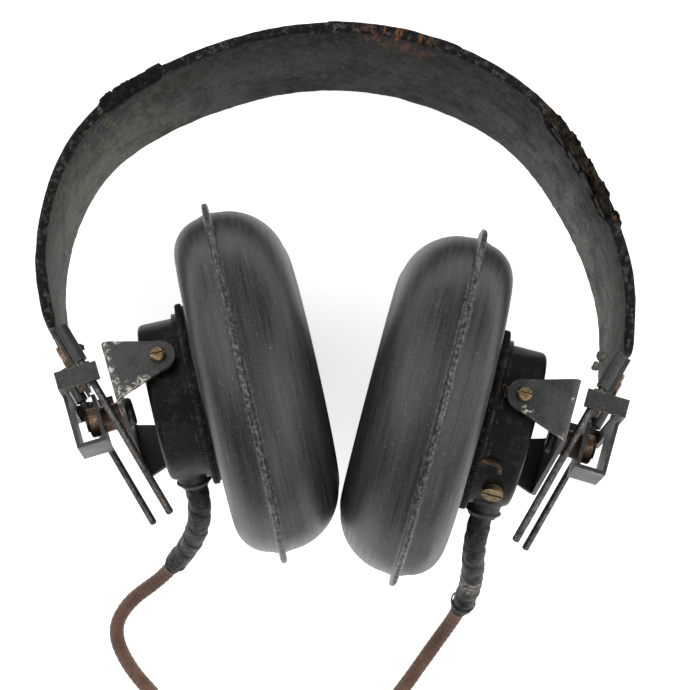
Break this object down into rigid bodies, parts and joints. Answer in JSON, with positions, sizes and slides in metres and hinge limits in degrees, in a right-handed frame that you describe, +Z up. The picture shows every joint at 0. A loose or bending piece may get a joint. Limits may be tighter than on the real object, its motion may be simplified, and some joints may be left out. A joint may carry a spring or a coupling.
{
  "type": "aviation headset",
  "caption": "Vintage aviation headset with leather spring headband, sliding fork-mounted receivers, moulded rubber ear cushions and a brown cotton-braided cord.",
  "frame": {"origin": "on the table, under the middle of the headset without its cord", "axes": "+X to the headset's right as laid, +Y towards the headband's crown, +Z up from the table"},
  "size_m": [0.2141, 0.3237, 0.1113],
  "materials": {
    "leather": "worn dark leather, olive mottling",
    "spring_steel": "dull spring steel with rust",
    "rod_steel": "dull steel with rust specks",
    "rusty_steel": "rusted steel",
    "dark_paint": "dark grey satin paint, chipped edges",
    "can_paint": "black satin paint",
    "copper": "tarnished copper",
    "old_brass": "tarnished brass",
    "rubber": "satin black moulded rubber",
    "gland_black": "black, worn",
    "cloth_tape": "wrinkled black cloth tape",
    "cotton_braid": "brown cotton braid",
    "magnet_iron": "plain",
    "winding": "enamelled copper wire",
    "diaphragm_steel": "japanned thin steel",
    "plug_black": "black moulding",
    "plug_brass": "bright brass"
  },
  "bodies": {
    "headband": {"band_cover": "leather", "band_rivets_left": "copper", "band_rivets_right": "copper", "band_spring": "spring_steel", "cord_branch_left": "cotton_braid", "cord_branch_right": "cotton_braid", "cord_coil": "cotton_braid", "cord_main": "cotton_braid", "cord_splitter": "gland_black", "cord_tail": "cotton_braid", "end_plate_left": "dark_paint", "end_plate_right": "dark_paint", "plug_insulator": "plug_black", "plug_shell": "plug_black", "plug_sleeve": "plug_brass", "plug_tip": "plug_brass", "slide_rods_left": "rod_steel", "slide_rods_right": "rod_steel"},
    "slider_left": {"slide_bracket_left": "dark_paint", "swivel_stud_left": "rod_steel", "swivel_collar_left": "rusty_steel", "swivel_washer_left": "rusty_steel", "swivel_nut_left": "copper"},
    "fork_left": {"fork_left": "dark_paint"},
    "cup_left": {"pivot_screws_left": "old_brass", "capsule_case_left": "can_paint", "capsule_cap_left": "can_paint", "ear_cushion_left": "rubber", "cord_gland_left": "gland_black", "clamp_screw_left": "old_brass", "magnet_left": "magnet_iron", "pole_pieces_left": "magnet_iron", "coils_left": "winding", "diaphragm_left": "diaphragm_steel", "cord_tape_left": "cloth_tape"},
    "slider_right": {"slide_bracket_right": "dark_paint", "swivel_stud_right": "rod_steel", "swivel_collar_right": "rusty_steel", "swivel_washer_right": "rusty_steel", "swivel_nut_right": "copper"},
    "fork_right": {"fork_right": "dark_paint"},
    "cup_right": {"pivot_screws_right": "old_brass", "capsule_case_right": "can_paint", "capsule_cap_right": "can_paint", "ear_cushion_right": "rubber", "cord_gland_right": "gland_black", "clamp_screw_right": "old_brass", "magnet_right": "magnet_iron", "pole_pieces_right": "magnet_iron", "coils_right": "winding", "diaphragm_right": "diaphragm_steel", "cord_tape_right": "cloth_tape", "case_tongue_right": "can_paint"}
  },
  "joints": [
    {"name": "left_slide", "type": "slide", "parent": "headband", "child": "slider_left", "axis": [0.5195, -0.8324, 0.1927], "range_m": [0, 0.008], "deforming": ["cord_branch_left"]},
    {"name": "left_swivel", "type": "hinge", "parent": "slider_left", "child": "fork_left", "pos_m": [-0.06278, -0.03497, 0.05812], "axis": [0.9545, 0.2839, -0.0914], "range_deg": [-6, 6], "deforming": ["cord_branch_left"]},
    {"name": "left_swing", "type": "hinge", "parent": "fork_left", "child": "cup_left", "pos_m": [-0.04846, -0.03071, 0.05675], "axis": [-0.0565, 0.473, 0.8793], "range_deg": [-13, 0], "deforming": ["cord_branch_left"]},
    {"name": "right_slide", "type": "slide", "parent": "headband", "child": "slider_right", "axis": [-0.5103, -0.8324, 0.2161], "range_m": [0, 0.008], "deforming": ["cord_branch_right"]},
    {"name": "right_swivel", "type": "hinge", "parent": "slider_right", "child": "fork_right", "pos_m": [0.0683, -0.04303, 0.05713], "axis": [-0.9576, 0.2839, -0.048], "range_deg": [-6, 6], "deforming": ["cord_branch_right"]},
    {"name": "right_swing", "type": "hinge", "parent": "fork_right", "child": "cup_right", "pos_m": [0.05394, -0.03877, 0.0564], "axis": [0.0589, 0.3563, 0.9325], "range_deg": [0, 15], "deforming": ["cord_branch_right"]}
  ],
  "couplings": [
    {"joint": "left_swing", "follows": "left_slide", "rad_per_m": -26.18},
    {"joint": "right_swing", "follows": "right_slide", "rad_per_m": 30.543}
  ]
}
